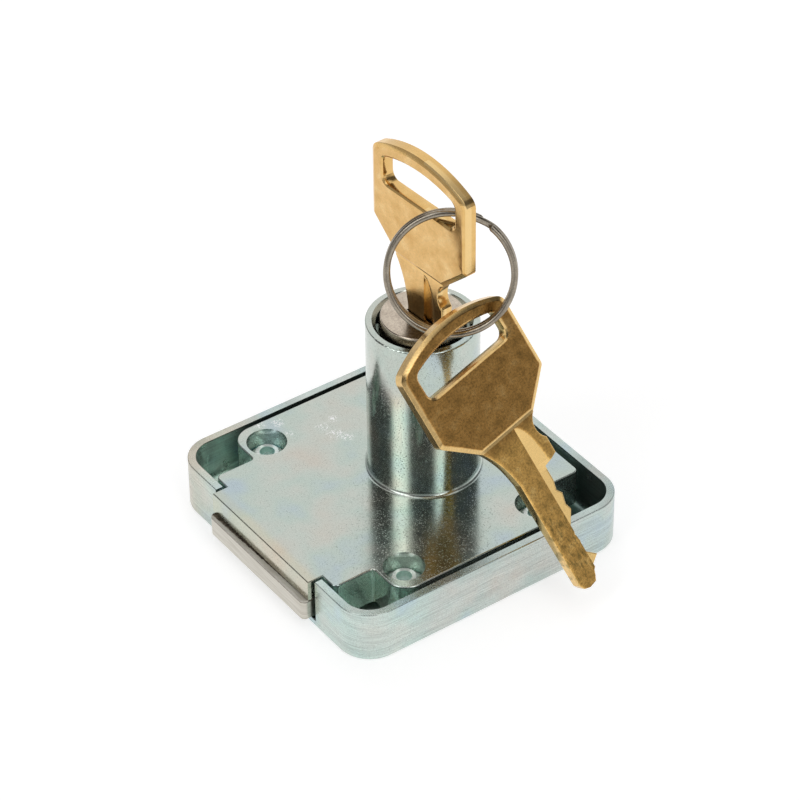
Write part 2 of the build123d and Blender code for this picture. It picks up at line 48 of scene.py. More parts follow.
# Colour: a hex value as it looks on screen, turned to the linear values that shaders use
def linearColour(hexValue):
    parts = np.array([int(hexValue[i:i + 2], 16) for i in (1, 3, 5)]) / 255
    linear = np.where(parts <= 0.04045, parts / 12.92, ((parts + 0.055) / 1.055) ** 2.4)
    return (*[float(part) for part in linear], 1.0)


# Adds a node of a kind, named without its ShaderNode in front, gives it its settings and the
# stops of its ramp, fills or links its inputs by name or in order, and returns its outputs
def addNode(tree, kind, inputs=(), stops=(), **settings):
    node = tree.nodes.new("ShaderNode" + kind)
    for name, value in settings.items():
        setattr(node, name, value)
    if stops:
        elements = node.color_ramp.elements
        while len(elements) < len(stops):
            elements.new(1.0)
        for element, (place, colour) in zip(elements, stops):
            element.position = place
            grey = (colour,) * 3 + (1.0,)
            element.color = linearColour(colour) if isinstance(colour, str) else grey
    for socket, value in inputs.items() if isinstance(inputs, dict) else enumerate(inputs):
        if isinstance(value, bpy.types.NodeSocket):
            tree.links.new(value, node.inputs[socket])
        else:
            node.inputs[socket].default_value = value
    return node.outputs


# Lays colours over a first one, one after another. Each comes with the share that it covers
# and the way that it goes on
def layered(tree, colour, *layers):
    for share, over, way in layers:
        inputs = {0: share, 6: colour, 7: over}
        colour = addNode(tree, "Mix", inputs, data_type="RGBA", blend_type=way)[2]
    return colour


# What is left where all the shares lie over one another: their product
def overlap(tree, *shares):
    left = shares[0]
    for share in shares[1:]:
        left = addNode(tree, "Math", (left, share), operation="MULTIPLY")[0]
    return left


# A value, and what each pattern adds to it where that pattern is 1
def addedTo(tree, value, *additions):
    for pattern, most in additions:
        value = addNode(tree, "Math", (pattern, most, value), operation="MULTIPLY_ADD")[0]
    return value


# Length of the slanting side over two sides at a right angle
def slantLength(tree, first, second):
    squared = addNode(tree, "Math", (second, second), operation="MULTIPLY")[0]
    return addNode(tree, "Math", (addedTo(tree, squared, (first, first)),), operation="SQRT")[0]


# Runs softly from 0 to 1 while the value runs from start to end, either way round, in
# millimetres unless another scale is given
def fadeBetween(tree, value, start, end, scale=mm):
    return addNode(tree, "MapRange", {
        "Value": value, "From Min": start * scale, "From Max": end * scale,
    }, interpolation_type="SMOOTHSTEP")[0]


# A noise whose grain is size millimetres across, or three sizes where it is stretched
def noiseField(tree, place, size, detail=3.0, turn=(0, 0, 0), shift=0.0):
    sizes = size if hasattr(size, "__len__") else (size,) * 3
    mapped = addNode(tree, "Mapping", {
        "Vector": place,
        "Location": (shift,) * 3,
        "Rotation": tuple(math.radians(angle) for angle in turn),
        "Scale": tuple(1 / (each * mm) for each in sizes),
    })[0]
    return addNode(tree, "TexNoise", {"Vector": mapped, "Scale": 1.0, "Detail": detail})["Fac"]


# Roughness that wanders a little about its middle value, where the surface has been wiped
def wipedRoughness(tree, place, size, turn, shift, middle):
    return addNode(tree, "MapRange", {
        "Value": noiseField(tree, place, size, 4.0, turn, shift),
        "From Min": 0.25, "From Max": 0.75,
        "To Min": middle - 0.04, "To Max": middle + 0.06,
    })[0]


# Starts a material, and gives the place that its patterns follow: the object's own
# coordinates, or those that the surface carries as an attribute
def startMaterial(name, attribute=None):
    material = bpy.data.materials.new(name)
    material.use_nodes = True
    tree = material.node_tree
    tree.nodes.clear()
    if attribute:
        place = addNode(tree, "Attribute", attribute_name=attribute)["Vector"]
    else:
        place = addNode(tree, "TexCoord")["Object"]
    return material, tree, place


# Ends a material. Its relief lists patterns and how many millimetres high each one stands,
# which add up to a bump
def endMaterial(tree, colour, metallic, roughness, relief):
    height = addedTo(tree, 0.0, *[(pattern, high * mm) for pattern, high in relief])
    bump = addNode(tree, "Bump", {"Height": height, "Distance": 1.0, "Strength": 1.0})[0]
    shader = addNode(tree, "BsdfPrincipled", {
        "Base Color": colour, "Metallic": metallic, "Roughness": roughness, "Normal": bump,
    })[0]
    addNode(tree, "OutputMaterial", {"Surface": shader})


# Camera: where the photograph was taken from, found from the straight edges of the case
cameraSetup = {
    "azimuth": 54.71,
    "elevation": 38.38,
    "roll": -0.70,
    "target": (-23.36, 11.79, 2.60),
    "distance": 617.7,
    "focalPixels": 3505.2,
    "imagePixels": 800,
    "sensorWidth": 36.0,
}


def makeCamera(setup):
    azimuth, elevation = math.radians(setup["azimuth"]), math.radians(setup["elevation"])
    back = Vector((
        math.sin(azimuth) * math.cos(elevation),
        -math.cos(azimuth) * math.cos(elevation),
        math.sin(elevation),
    ))
    data = bpy.data.cameras.new("photographCamera")
    data.sensor_width = setup["sensorWidth"]
    data.lens = setup["focalPixels"] / setup["imagePixels"] * data.sensor_width
    data.clip_start, data.clip_end = 0.01, 20.0
    camera = bpy.data.objects.new("photographCamera", data)
    bpy.context.scene.collection.objects.link(camera)
    camera.location = (Vector(setup["target"]) + back * setup["distance"]) * mm
    level = (-back).to_track_quat("-Z", "Y").to_matrix().to_4x4()
    turned = level @ Matrix.Rotation(math.radians(setup["roll"]), 4, "Z")
    camera.rotation_euler = turned.to_euler()
    bpy.context.scene.camera = camera


makeCamera(cameraSetup)
bpy.context.scene.view_settings.view_transform = "Standard"
print("camera set")

# Studio: white all round, with the dark camera side of the room and its two strip lamps,
# which the tower and the deck mirror. Places in roomStops and lowSideStops are shares of a
# turn: the photographer's side is 0.5 and larger shares lie to its right. Low down the room
# is grey in front and white behind, and overhead it is white
studio = {
    "photographerSide": -35.3,
    "roomStops": [
        (0.00, 1.0), (0.09, 0.95), (0.13, 0.09), (0.30, 0.07), (0.335, 2.5), (0.395, 2.5),
        (0.425, 0.16), (0.47, 0.07), (0.553, 0.08), (0.580, 2.3), (0.625, 2.3), (0.655, 0.10),
        (0.87, 0.10), (0.95, 0.9), (1.0, 1.0),
    ],
    "lowSideStops": [
        (0.0, 1.0), (0.13, 0.45), (0.30, 0.40), (0.54, 0.40), (0.575, 0.95), (0.642, 0.95),
        (0.672, 0.40), (0.70, 0.40), (0.80, 1.05), (1.0, 1.05),
    ],
    "lowSideRise": (0.30, 0.50),
    "overheadRise": (0.80, 0.93),
    "white": (1.0, 1.0, 1.0, 1.0),
    "floorSize": 4000,
    "floorBelow": 0.02,
    "floorGlow": 0.62,
    "floorColour": "#c8c8c8",
}


# World: the light from a direction depends on its bearing and its height. The camera itself
# sees white
def makeStudio(setup):
    world = bpy.data.worlds.new("studioRoom")
    world.use_nodes = True
    bpy.context.scene.world = world
    tree = world.node_tree
    tree.nodes.clear()
    turned = addNode(tree, "Mapping", {
        "Vector": addNode(tree, "TexCoord")["Generated"],
        "Rotation": (0, 0, math.radians(-setup["photographerSide"])),
    })[0]
    x, y, z = addNode(tree, "SeparateXYZ", (turned,))
    around = addNode(tree, "Math", (y, x), operation="ARCTAN2")[0]
    turnShare = addedTo(tree, 0.5, (around, 1 / fullTurn))
    room = addNode(tree, "ValToRGB", {"Fac": turnShare}, setup["roomStops"])["Color"]
    lowSide = addNode(tree, "ValToRGB", {"Fac": turnShare}, setup["lowSideStops"])["Color"]
    seen = layered(
        tree, lowSide,
        (fadeBetween(tree, z, *setup["lowSideRise"], scale=1), room, "MIX"),
        (fadeBetween(tree, z, *setup["overheadRise"], scale=1), setup["white"], "MIX"),
        (addNode(tree, "LightPath")["Is Camera Ray"], setup["white"], "MIX"),
    )
    background = addNode(tree, "Background", {"Color": seen, "Strength": 1.0})[0]
    addNode(tree, "OutputWorld", {"Surface": background})


def makeFloor(setup):
    half, low = setup["floorSize"] * mm / 2, -setup["floorBelow"] * mm
    corners = [(-half, -half, low), (half, -half, low), (half, half, low), (-half, half, low)]
    mesh = bpy.data.meshes.new("whiteFloor")
    mesh.from_pydata(corners, [], [(0, 1, 2, 3)])
    floor = bpy.data.objects.new("whiteFloor", mesh)
    bpy.context.scene.collection.objects.link(floor)
    # Matt white sweep: seen directly or in metal it is white, and it keeps a soft shadow
    material = bpy.data.materials.new("mattWhiteSweep")
    material.use_nodes = True
    tree = material.node_tree
    tree.nodes.clear()
    paper = addNode(tree, "BsdfDiffuse", {"Color": linearColour(setup["floorColour"])})[0]
    rays = addNode(tree, "LightPath")
    seen = 0.0
    for way in ("Is Camera Ray", "Is Glossy Ray", "Is Transmission Ray"):
        seen = addNode(tree, "Math", (rays[way], seen), operation="MAXIMUM")[0]
    glow = addNode(tree, "Emission", {
        "Color": setup["white"], "Strength": overlap(tree, seen, setup["floorGlow"]),
    })[0]
    both = addNode(tree, "AddShader", (paper, glow))[0]
    addNode(tree, "OutputMaterial", {"Surface": both})
    mesh.materials.append(material)


makeStudio(studio)
makeFloor(studio)
print("studio set")


# Closed surface from a grid of points: rows run along the piece, columns close round it, and a
# flat cap closes each end, or the last row joins the first
def gridPiece(name, rows, ringed=False, sharpAngle=30, ownPlace=None):
    count, around = rows.shape[:2]
    starts = np.arange(count if ringed else count - 1)[:, None] * around
    columns = np.arange(around)[None, :]
    following = (columns + 1) % around
    nextRow = (starts + around) % (count * around)
    quads = np.stack([
        starts + columns, starts + following, nextRow + following, nextRow + columns,
    ], axis=-1)
    faces = quads.reshape(-1, 4).tolist()
    if not ringed:
        faces.append(list(range(around))[::-1])
        faces.append(list(range((count - 1) * around, count * around)))
    mesh = bpy.data.meshes.new(name)
    mesh.from_pydata((rows.reshape(-1, 3) * mm).tolist(), [], faces)
    mesh.polygons.foreach_set("use_smooth", np.ones(len(faces), dtype=bool))
    mesh.set_sharp_from_angle(angle=math.radians(sharpAngle))
    if ownPlace is not None:
        layer = mesh.attributes.new("ownPlace", "FLOAT_VECTOR", "POINT")
        layer.data.foreach_set("vector", (ownPlace * mm).astype(np.float32).ravel())
    mesh.update()
    piece = bpy.data.objects.new(name, mesh)
    bpy.context.scene.collection.objects.link(piece)
    return piece


# Tube of a wire: at each point of its path a circle lies across the path, in the plane of the
# outward and the sideways direction there. The two ends are a little thinner, as if deburred
def wirePiece(name, path, outward, sideways, radius, sides):
    turns = np.linspace(0, fullTurn, sides, endpoint=False)[None, :, None]
    radii = np.full(len(path), radius)
    radii[[0, -1]] *= 0.8
    circle = np.cos(turns) * outward[:, None, :] + np.sin(turns) * sideways[:, None, :]
    rows = path[:, None, :] + radii[:, None, None] * circle
    return gridPiece(name, rows, sharpAngle=50)


# Vectors brought to a length of one
def unit(vectors):
    return vectors / np.linalg.norm(vectors, axis=-1, keepdims=True)


# Three directions of a plane that faces along yaw and lean in degrees and is rolled about
# that direction: across it, up it and out of it
def facingDirections(yaw, lean, roll=0.0):
    yaw, lean, roll = (math.radians(angle) for angle in (yaw, lean, roll))
    level = np.array([-math.sin(yaw), math.cos(yaw), 0.0])
    facing = np.array([math.cos(yaw), math.sin(yaw), 0.0])
    upward = np.array([0.0, 0.0, 1.0])
    uphill = upward * math.cos(lean) - facing * math.sin(lean)
    outOf = facing * math.cos(lean) + upward * math.sin(lean)
    across = level * math.cos(roll) + uphill * math.sin(roll)
    return across, np.cross(outOf, across), outOf


# Where the keys and the ring hang, as in the frame
keyTurned = math.radians(3.6)
alongKeyway = np.array([math.cos(keyTurned), math.sin(keyTurned), 0.0])
acrossKeyway = np.array([math.sin(keyTurned), -math.cos(keyTurned), 0.0])
insertedKey = {
    "tip": 0.5 * alongKeyway + np.array([0, 0, 20.2]),
    "across": alongKeyway,
    "up": np.array([0.0, 0.0, 1.0]),
    "outOf": acrossKeyway,
}
splitRing = {
    "radius": 10.22,
    "wire": 0.56,
    "pitch": 1.08,
    "yaw": -39.0,
    "lean": 17.8,
    "heldAngle": 94.6,
    "heldInSlot": (5.6, 44.5),
    "spareAngle": 295.0,
    "spareInSlot": (5.2, 47.25),
    "endAngle": 57.0,
    "endGap": 5.0,
    "crossing": 14.0,
    "steps": 400,
    "sides": 20,
}
ringLevel, ringUp, ringOut = facingDirections(splitRing["yaw"], splitRing["lean"])


# Direction from the ring's centre to its wire, at angles in degrees
def ringDirection(angles):
    angles = np.radians(angles)
    return np.multiply.outer(np.cos(angles), ringLevel) + np.multiply.outer(np.sin(angles), ringUp)


ringHeld = insertedKey["tip"] + sum(
    length * insertedKey[way] for length, way in zip(splitRing["heldInSlot"], ("across", "up"))
)
ringCentre = ringHeld - splitRing["radius"] * ringDirection(splitRing["heldAngle"])
spareAcross, spareUp, spareOut = facingDirections(1.6, 29.5, 13.7)
spareHeld = ringCentre + splitRing["radius"] * ringDirection(splitRing["spareAngle"])
heldAcross, heldUp = splitRing["spareInSlot"]
spareKey = {
    "tip": spareHeld - heldAcross * spareAcross - heldUp * spareUp,
    "across": spareAcross,
    "up": spareUp,
    "outOf": spareOut,
}


# Split ring: a circle walked round twice, shifted half a pitch one way on the first turn and
# half a pitch the other way on the second, with a smooth step between them beside the two ends
def makeSplitRing(setup):
    start, crossing = setup["endAngle"] + setup["endGap"], setup["crossing"]
    stop = setup["endAngle"] + 720 - setup["endGap"]
    angles = np.linspace(start, stop, setup["steps"])
    share = np.clip((angles - setup["endAngle"] - 360 + crossing) / (2 * crossing), 0, 1)
    step = share * share * (3 - 2 * share)
    outward = ringDirection(angles)
    sideways = np.repeat(ringOut[None, :], len(angles), axis=0)
    shifted = (setup["pitch"] * (step - 0.5))[:, None] * sideways
    path = ringCentre + setup["radius"] * outward + shifted
    ring = wirePiece("ringWire", path, outward, -sideways, setup["wire"], setup["sides"])
    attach(ring, "ring")
    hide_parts("split_ring")
    return ring


coilSprings = {
    "coilRadius": 0.47,
    "wire": 0.12,
    "turns": 5.5,
    "stepsPerTurn": 28,
    "sides": 10,
    "waferStart": 0.15,
    "waferLength": 2.2,
    "waferSide": 4.15,
    "firstWafer": 24.4,
    "waferPitch": 2.8,
    "retainerStart": -1.25,
    "retainerLength": 2.45,
    "retainerHeight": 11.3,
}


# Coil spring: a helix of constant pitch along the keyway's direction, a wire's radius short of
# the given length at each end
def makeSpring(name, node, setup, start, length, side, height):
    turns = np.linspace(0, fullTurn * setup["turns"], int(setup["turns"] * setup["stepsPerTurn"]))
    axisStart = start * alongKeyway - side * acrossKeyway + np.array([0, 0, height])
    upward = np.array([0.0, 0.0, 1.0])
    outward = np.cos(turns)[:, None] * acrossKeyway + np.sin(turns)[:, None] * upward
    reach = np.linspace(setup["wire"], length - setup["wire"], len(turns))
    path = axisStart + reach[:, None] * alongKeyway + setup["coilRadius"] * outward
    sideways = np.repeat(alongKeyway[None, :], len(turns), axis=0)
    spring = wirePiece(name, path, outward, sideways, setup["wire"], setup["sides"])
    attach(spring, "plug")
    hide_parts(node)
    return spring


# Key: bow and blade of one brass blank, sizes as in the frame. Widths run from the middle of
# the blade and heights from its tip. Profiles and steps of the mesh come last
keyShape = {
    "bowCorners": [
        (-11.8, 49.2), (-11.8, 35.7), (-6.0, 30.4), (6.0, 30.4), (11.8, 35.7), (11.8, 49.2),
    ],
    "bowCornerRounds": [2.0, 1.0, 0.5, 0.5, 1.0, 2.0],
    "bowTop": 52.3,
    "slotCorners": [(-9.0, 48.1), (-9.0, 43.1), (9.0, 43.1), (9.0, 48.1)],
    "slotCornerRounds": [1.5, 1.5, 1.5, 1.5],
    "slotTop": 49.7,
    "middle": (0.0, 45.8),
    "bowHalf": 1.3,
    "outerBevel": (0.85, 0.42),
    "slotBevel": (0.4, 0.3),
    "bladeHalf": 1.1,
    "bladeEdge": 0.18,
    "leftEdge": [(-1.55, 0.02), (-2.5, 0.4), (-3.0, 1.3), (-3.0, 21.8), (-3.35, 23.8)],
    "leftNeck": [(-3.35, 23.8), (-4.2, 26.9), (-6.0, 30.4)],
    "rightEdge": [
        (-1.3, 0.02), (0.1, 0.2), (0.55, 1.0), (0.9, 1.9), (3.05, 3.5), (1.35, 5.3), (1.75, 7.3),
        (1.1, 9.0), (1.6, 10.3), (3.15, 12.7), (2.75, 13.9), (3.25, 15.9), (2.6, 16.9),
        (3.05, 18.6), (3.05, 21.5), (5.7, 22.4), (5.7, 25.5),
    ],
    "rightNeck": [(5.7, 25.5), (4.75, 28.3), (6.0, 30.4)],
    "neckHalf": 6.0,
    "bladeTop": 35.0,
    "fluteSide": 1.2,
    "fluteDepth": 0.8,
    # Nearly level below the shoulder, where the plug's ward lies in it, and steeper above
    "fluteSlopes": [(20.8, 0.15), (22.4, 0.30)],
    "fluteTop": 30.2,
    "fluteRunOut": 8.0,
    "fluteWall": 0.16,
    "backFlute": (-1.7, -0.6),
    "backFluteDepth": 0.4,
    "backFluteTop": 26.5,
    "backFluteRunOut": 2.0,
    "bevelProfile": [
        (1.0, 0.0), (0.95, 0.01), (0.89, 0.05), (0.10, 0.86), (0.04, 0.93), (0.01, 0.97),
        (0.0, 1.0),
    ],
    "mostSlant": 1.8,
    "sharpAngle": 28,
    "bowSteps": 520,
    "angleStep": 0.003,
    "faceSteps": 7,
    "rowStep": 0.12,
    "edgeSteps": 4,
    "frontSteps": (9, 4, 14),
    "backSteps": (9, 3, 4, 3, 5),
}


# Circle through three points: its centre and radius
def circleThrough(first, second, third):
    points = np.array([first, second, third], float)
    squares = (points ** 2).sum(axis=1)
    matrix = np.column_stack([2 * points, np.ones(3)])
    centreX, centreY, rest = np.linalg.solve(matrix, squares)
    return np.array([centreX, centreY]), math.sqrt(rest + centreX ** 2 + centreY ** 2)


# Closed outline: straight sides with each corner replaced by a tangent arc, and the arch from
# the last corner over the top back to the first, which is a circle through three points. The
# arch counts as straight beside its two corners, and gives way to their arcs there
def archedOutline(corners, rounds, top, archSteps=60, arcSteps=12, besideCorner=3):
    corners, rounds = np.array(corners), np.array(rounds)
    centre, radius = circleThrough(corners[-1], (0.0, top), corners[0])
    startAngle = math.atan2(*(corners[-1] - centre)[::-1])
    turns = np.linspace(startAngle, math.pi - startAngle, archSteps)[1:-1]
    arch = centre + radius * np.column_stack([np.cos(turns), np.sin(turns)])
    intoCorner = unit(np.vstack([arch[-1 - besideCorner], corners[:-1]]) - corners)
    outOfCorner = unit(np.vstack([corners[1:], arch[besideCorner]]) - corners)
    halfAngle = np.arccos(np.clip((intoCorner * outOfCorner).sum(axis=1), -1, 1)) / 2
    reach = (rounds / np.tan(halfAngle))[:, None]
    middles = corners + unit(intoCorner + outOfCorner) * (rounds / np.sin(halfAngle))[:, None]
    first, last = corners + intoCorner * reach - middles, corners + outOfCorner * reach - middles
    share = np.linspace(0, 1, arcSteps)[None, :, None]
    bends = unit(first[:, None] * (1 - share) + last[:, None] * share)
    arcs = middles[:, None] + rounds[:, None, None] * bends
    kept = np.abs(arch[:, 0]) < abs(corners[0, 0]) - rounds[0] * 0.66
    return np.vstack([arcs.reshape(-1, 2), arch[kept]])


# Distance from a middle point to an outline in each direction: every side is cut into fine
# steps, and the distances of those points are read off at the wanted angles
def polarReach(outline, middle, angles, fineSteps=120):
    away = outline - middle
    away = away[np.argsort(np.arctan2(away[:, 1], away[:, 0]) % fullTurn)]
    share = np.linspace(0, 1, fineSteps, endpoint=False)[None, :, None]
    fine = away[:, None] * (1 - share) + np.roll(away, -1, axis=0)[:, None] * share
    fine = fine.reshape(-1, 2)
    bearing = np.arctan2(fine[:, 1], fine[:, 0]) % fullTurn
    order = np.argsort(bearing)
    reach = np.hypot(fine[:, 0], fine[:, 1])
    return np.interp(angles, bearing[order], reach[order], period=fullTurn)


# Bow: in each direction from the middle of the slot, a flat section with bevels runs from the
# slot's edge to the outline. Its outer bevel is widened where the outline slants to that
# direction, and the slot's bevel is laid off square to the slot's edge. One trip round carries
# the section, so the surface closes on itself
def bowPoints(shape):
    middle = np.array(shape["middle"])
    outline = archedOutline(shape["bowCorners"], shape["bowCornerRounds"], shape["bowTop"])
    slot = archedOutline(shape["slotCorners"], shape["slotCornerRounds"], shape["slotTop"])
    even = np.linspace(0, fullTurn, shape["bowSteps"], endpoint=False)
    away = np.concatenate([outline, slot]) - middle
    angles = np.concatenate([even, np.arctan2(away[:, 1], away[:, 0]) % fullTurn])
    angles = np.unique(np.round(angles / shape["angleStep"])) * shape["angleStep"]
    directions = np.column_stack([np.cos(angles), np.sin(angles)])
    outer, inner = (polarReach(edge, middle, angles) for edge in (outline, slot))
    change = np.gradient(np.log(outer), angles)
    slant = np.sqrt(1 + np.clip(change, -shape["mostSlant"], shape["mostSlant"]) ** 2)
    slotEdge = middle + inner[:, None] * directions
    along = np.roll(slotEdge, -1, axis=0) - np.roll(slotEdge, 1, axis=0)
    awayFromSlot = unit(np.column_stack([along[:, 1], -along[:, 0]]))
    left, reached = np.array(shape["bevelProfile"]).T
    half = shape["bowHalf"]
    (outerWide, outerDeep), (slotWide, slotDeep) = shape["outerBevel"], shape["slotBevel"]
    outerReach = outer[:, None] - slant[:, None] * outerWide * left
    faceOuter = middle + outerReach[:, :, None] * directions[:, None, :]
    heightOuter = half - outerDeep * reached
    slotReach = slotWide * left[None, ::-1, None]
    faceInner = slotEdge[:, None, :] + slotReach * awayFromSlot[:, None, :]
    heightInner = half - slotDeep * reached[::-1]
    share = np.linspace(0, 1, shape["faceSteps"])[None, 1:-1, None]
    between = faceInner[:, -1:] * (1 - share) + faceOuter[:, :1] * share
    flat = np.concatenate([faceInner, between, faceOuter], axis=1)
    height = np.concatenate([heightInner, np.full(between.shape[1], half), heightOuter])
    flat = np.concatenate([flat, flat[:, ::-1]], axis=1)
    height = np.concatenate([height, -height[::-1]])
    return np.concatenate([flat, np.tile(height[None, :, None], (len(angles), 1, 1))], axis=2)


# Edge of the blade: straight runs between points, then the circle of the neck's hollow side
def edgeAt(points, neck, heights, topWidth):
    points = np.array(points)
    width = np.interp(heights, points[:, 1], points[:, 0])
    centre, radius = circleThrough(*neck)
    side = np.sign(neck[1][0] - centre[0])
    rise = np.clip(radius ** 2 - (heights - centre[1]) ** 2, 0, None)
    width = np.where(heights > neck[0][1], centre[0] + side * np.sqrt(rise), width)
    return np.where(heights > neck[2][1], topWidth, width)


# Columns of widths from a first one to a last one, in even steps
def columnsBetween(start, end, steps):
    share = np.linspace(0, 1, steps)[None, :]
    return start[:, None] * (1 - share) + end[:, None] * share


# Blade: at each height a section runs from the left edge to the right edge on the front and
# back again on the rear. The front falls by the depth of the wide flute, a sloping floor from
# its wall out to the cut edge that comes up to the surface in a curve at its upper end. The
# rear has a narrow flute of even depth
def bladePoints(shape):
    even = np.arange(0.02, shape["bladeTop"], shape["rowStep"])
    marks = [height for width, height in shape["rightEdge"] + shape["leftEdge"]]
    heights = np.concatenate([even, marks, [shape["bladeTop"]]])
    heights = np.unique(np.round(heights, 3))
    right = edgeAt(shape["rightEdge"], shape["rightNeck"], heights, shape["neckHalf"])
    left = edgeAt(shape["leftEdge"], shape["leftNeck"], heights, -shape["neckHalf"])
    half, wall = shape["bladeHalf"], shape["fluteWall"]
    rounding = np.minimum(shape["bladeEdge"], (right - left)[:, None] / 4)
    turn = np.linspace(0, math.pi / 2, shape["edgeSteps"])
    toEdge, reached = 1 - np.sin(turn), 1 - np.cos(turn)
    lowEdge, highEdge = left + rounding[:, 0], right - rounding[:, 0]
    frontLow = left[:, None] + rounding * toEdge[::-1]
    frontLowHeight = half - rounding * reached[::-1]
    frontHigh = right[:, None] - rounding * toEdge
    frontHighHeight = half - rounding * reached

    fluteStart = np.clip(shape["fluteSide"], lowEdge, highEdge)
    fluteFloor = np.clip(shape["fluteSide"] + wall, lowEdge, highEdge)
    faceSteps, wallSteps, floorSteps = shape["frontSteps"]
    middleColumns = np.concatenate([
        columnsBetween(lowEdge, fluteStart, faceSteps)[:, 1:],
        columnsBetween(fluteStart, fluteFloor, wallSteps)[:, 1:],
        columnsBetween(fluteFloor, highEdge, floorSteps)[:, 1:-1],
    ], axis=1)
    middleHeight = np.full(middleColumns.shape, half)
    front = np.concatenate([frontLow, middleColumns, frontHigh], axis=1)
    frontHeight = np.concatenate([frontLowHeight, middleHeight, frontHighHeight], axis=1)
    runOut = np.clip((shape["fluteTop"] - heights) / shape["fluteRunOut"], 0, 1)
    deepest = shape["fluteDepth"] * np.sqrt(runOut * (2 - runOut))
    slope = np.interp(heights, *np.array(shape["fluteSlopes"]).T)[:, None]
    fromWall = front - shape["fluteSide"]
    floorDepth = np.clip(deepest[:, None] - slope * np.clip(fromWall, 0, None), 0, None)
    frontHeight = frontHeight - np.clip(fromWall / wall, 0, 1) * floorDepth

    backStart, backEnd = shape["backFlute"]
    backStops = [highEdge] + [
        np.clip(width, lowEdge, highEdge)
        for width in (backEnd, backEnd - wall, backStart + wall, backStart)
    ] + [lowEdge]
    backColumns = np.concatenate([
        columnsBetween(start, end, steps)[:, 1:]
        for start, end, steps in zip(backStops, backStops[1:], shape["backSteps"])
    ], axis=1)[:, :-1]
    inFlute = np.clip((backColumns - backStart) / wall, 0, 1)
    inFlute = inFlute * np.clip((backEnd - backColumns) / wall, 0, 1)
    backRunOut = np.clip((shape["backFluteTop"] - heights) / shape["backFluteRunOut"], 0, 1)
    backHeight = -half + shape["backFluteDepth"] * inFlute * np.sqrt(backRunOut)[:, None]
    back = np.concatenate([frontHigh[:, ::-1], backColumns, frontLow[:, ::-1]], axis=1)
    backHeight = np.concatenate([
        -frontHighHeight[:, ::-1], backHeight, -frontLowHeight[:, ::-1],
    ], axis=1)

    widths = np.concatenate([front, back], axis=1)
    thicknesses = np.concatenate([frontHeight, backHeight], axis=1)
    rows = np.repeat(heights[:, None], widths.shape[1], axis=1)
    return np.stack([widths, rows, thicknesses], axis=2)


# Each point goes its width across, its height up and its thickness out of the key's plane
def placeKey(points, place):
    directions = np.stack([place["across"], place["up"], place["outOf"]])
    return place["tip"] + points @ directions


def makeKey(name, place, shape, body, node):
    bowRows, bladeRows, sharp = bowPoints(shape), bladePoints(shape), shape["sharpAngle"]
    bow = gridPiece(name + "Bow", placeKey(bowRows, place), True, sharp, bowRows)
    blade = gridPiece(name + "Blade", placeKey(bladeRows, place), False, sharp, bladeRows)
    for piece in (bow, blade):
        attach(piece, body)
        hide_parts(node)
    return bow, blade


insertedPieces = makeKey(
    "insertedKey", insertedKey, keyShape, "key", "key_in_lock",
)
sparePieces = makeKey("spareKey", spareKey, keyShape, "spare", "spare_key")
print("keys made")
ringWire = makeSplitRing(splitRing)
springs = [
    makeSpring(
        f"waferCoil{index + 1}", f"wafer_spring_{index + 1}", coilSprings,
        coilSprings["waferStart"], coilSprings["waferLength"],
        coilSprings["waferSide"] * (1 if index % 2 == 0 else -1),
        coilSprings["firstWafer"] + index * coilSprings["waferPitch"],
    )
    for index in range(5)
]
springs.append(makeSpring(
    "retainerCoil", "retainer_spring", coilSprings, coilSprings["retainerStart"],
    coilSprings["retainerLength"], 0.0, coilSprings["retainerHeight"],
))
print("ring and springs wound")

# Zinc plate with a thin blue passivation, on pressed steel and on die-cast zinc: a soft mirror
# with faint blue, green and pink patches and a sparkling crystal grain. Inside the case its
# colour is painted lighter and greener, a painted reflection of the plate mirroring itself.
# Real crystals are about 0.05 mm across, and the grain and the specks are drawn five times as
# coarse so that they show
plateFinish = {
    "patchSize": 9.0,
    "patchPlaces": (0.28, 0.44, 0.56, 0.74),
    "grainSize": 0.26,
    "grainShades": [(0.26, 0.80), (0.42, 0.98), (0.62, 1.02), (0.72, 1.10)],
    "smearSize": 3.0,
    "speckSize": 0.24,
    "speckStops": [(0.57, 0.0), (0.68, 1.0)],
    "speckRoughness": 0.32,
    # Painted reflection: lighter, greener tint laid over the inside of the case
    "paintedInsideReflection": (1.16, 1.26, 1.24, 1.0),
    "insideRoughness": 0.03,
    "mattShare": 0.12,
    "caseMiddle": -5.0,
    # Painted shade: where the gap and the back right corner are painted, and the near black colour
    "gapBetween": (25.6, 26.0),
    "gapEnds": (15.5, 12.5),
    "gapShade": 0.78,
    "cornerShadeSide": (13.0, 16.5),
    "cornerShadeBack": (7.0, 11.0),
    "cornerShadeStrength": 0.55,
    "dark": (0.01, 0.012, 0.012, 1.0),
}
caseFinish = {
    **plateFinish,
    "patches": ("#bcd0d7", "#c3d4ce", "#cbd5cf", "#cfd0c8"),
    "grainHeight": 0.0016,
    "roughness": 0.25,
    "lineSpacing": 0.17,
    "lineLength": 8.0,
    "lineTurn": (1.5, 2.0, 0),
    "lineHeight": 0.0030,
    "lineShades": [(0.30, 0.80), (0.50, 0.99), (0.70, 1.12)],
    "cornerBox": 21.5,
    "innerReach": 5.3,
    "insideBetween": (1.2, 9.6),
    "warmFrom": (-8.0, -27.0),
    "warmFront": (-13.0, -24.0),
    "warm": (0.94, 0.80, 0.72, 1.0),
    # Painted shade: the sides darker towards the back, so the front corner is the brightest
    "paintedBackShade": (0.93, 0.90, 0.91, 1.0),
    "paintedBackShadeFrom": (-24.0, -16.0),
    # Painted highlight: a pale, less metallic ring on the tops of the screw posts
    "postPlace": (20.0, 13.5),
    "postReach": 3.4,
    "postHole": 1.36,
    "postTop": 6.2,
    "postHighlightColour": "#e9efeb",
    "postHighlightMatt": 0.4,
}
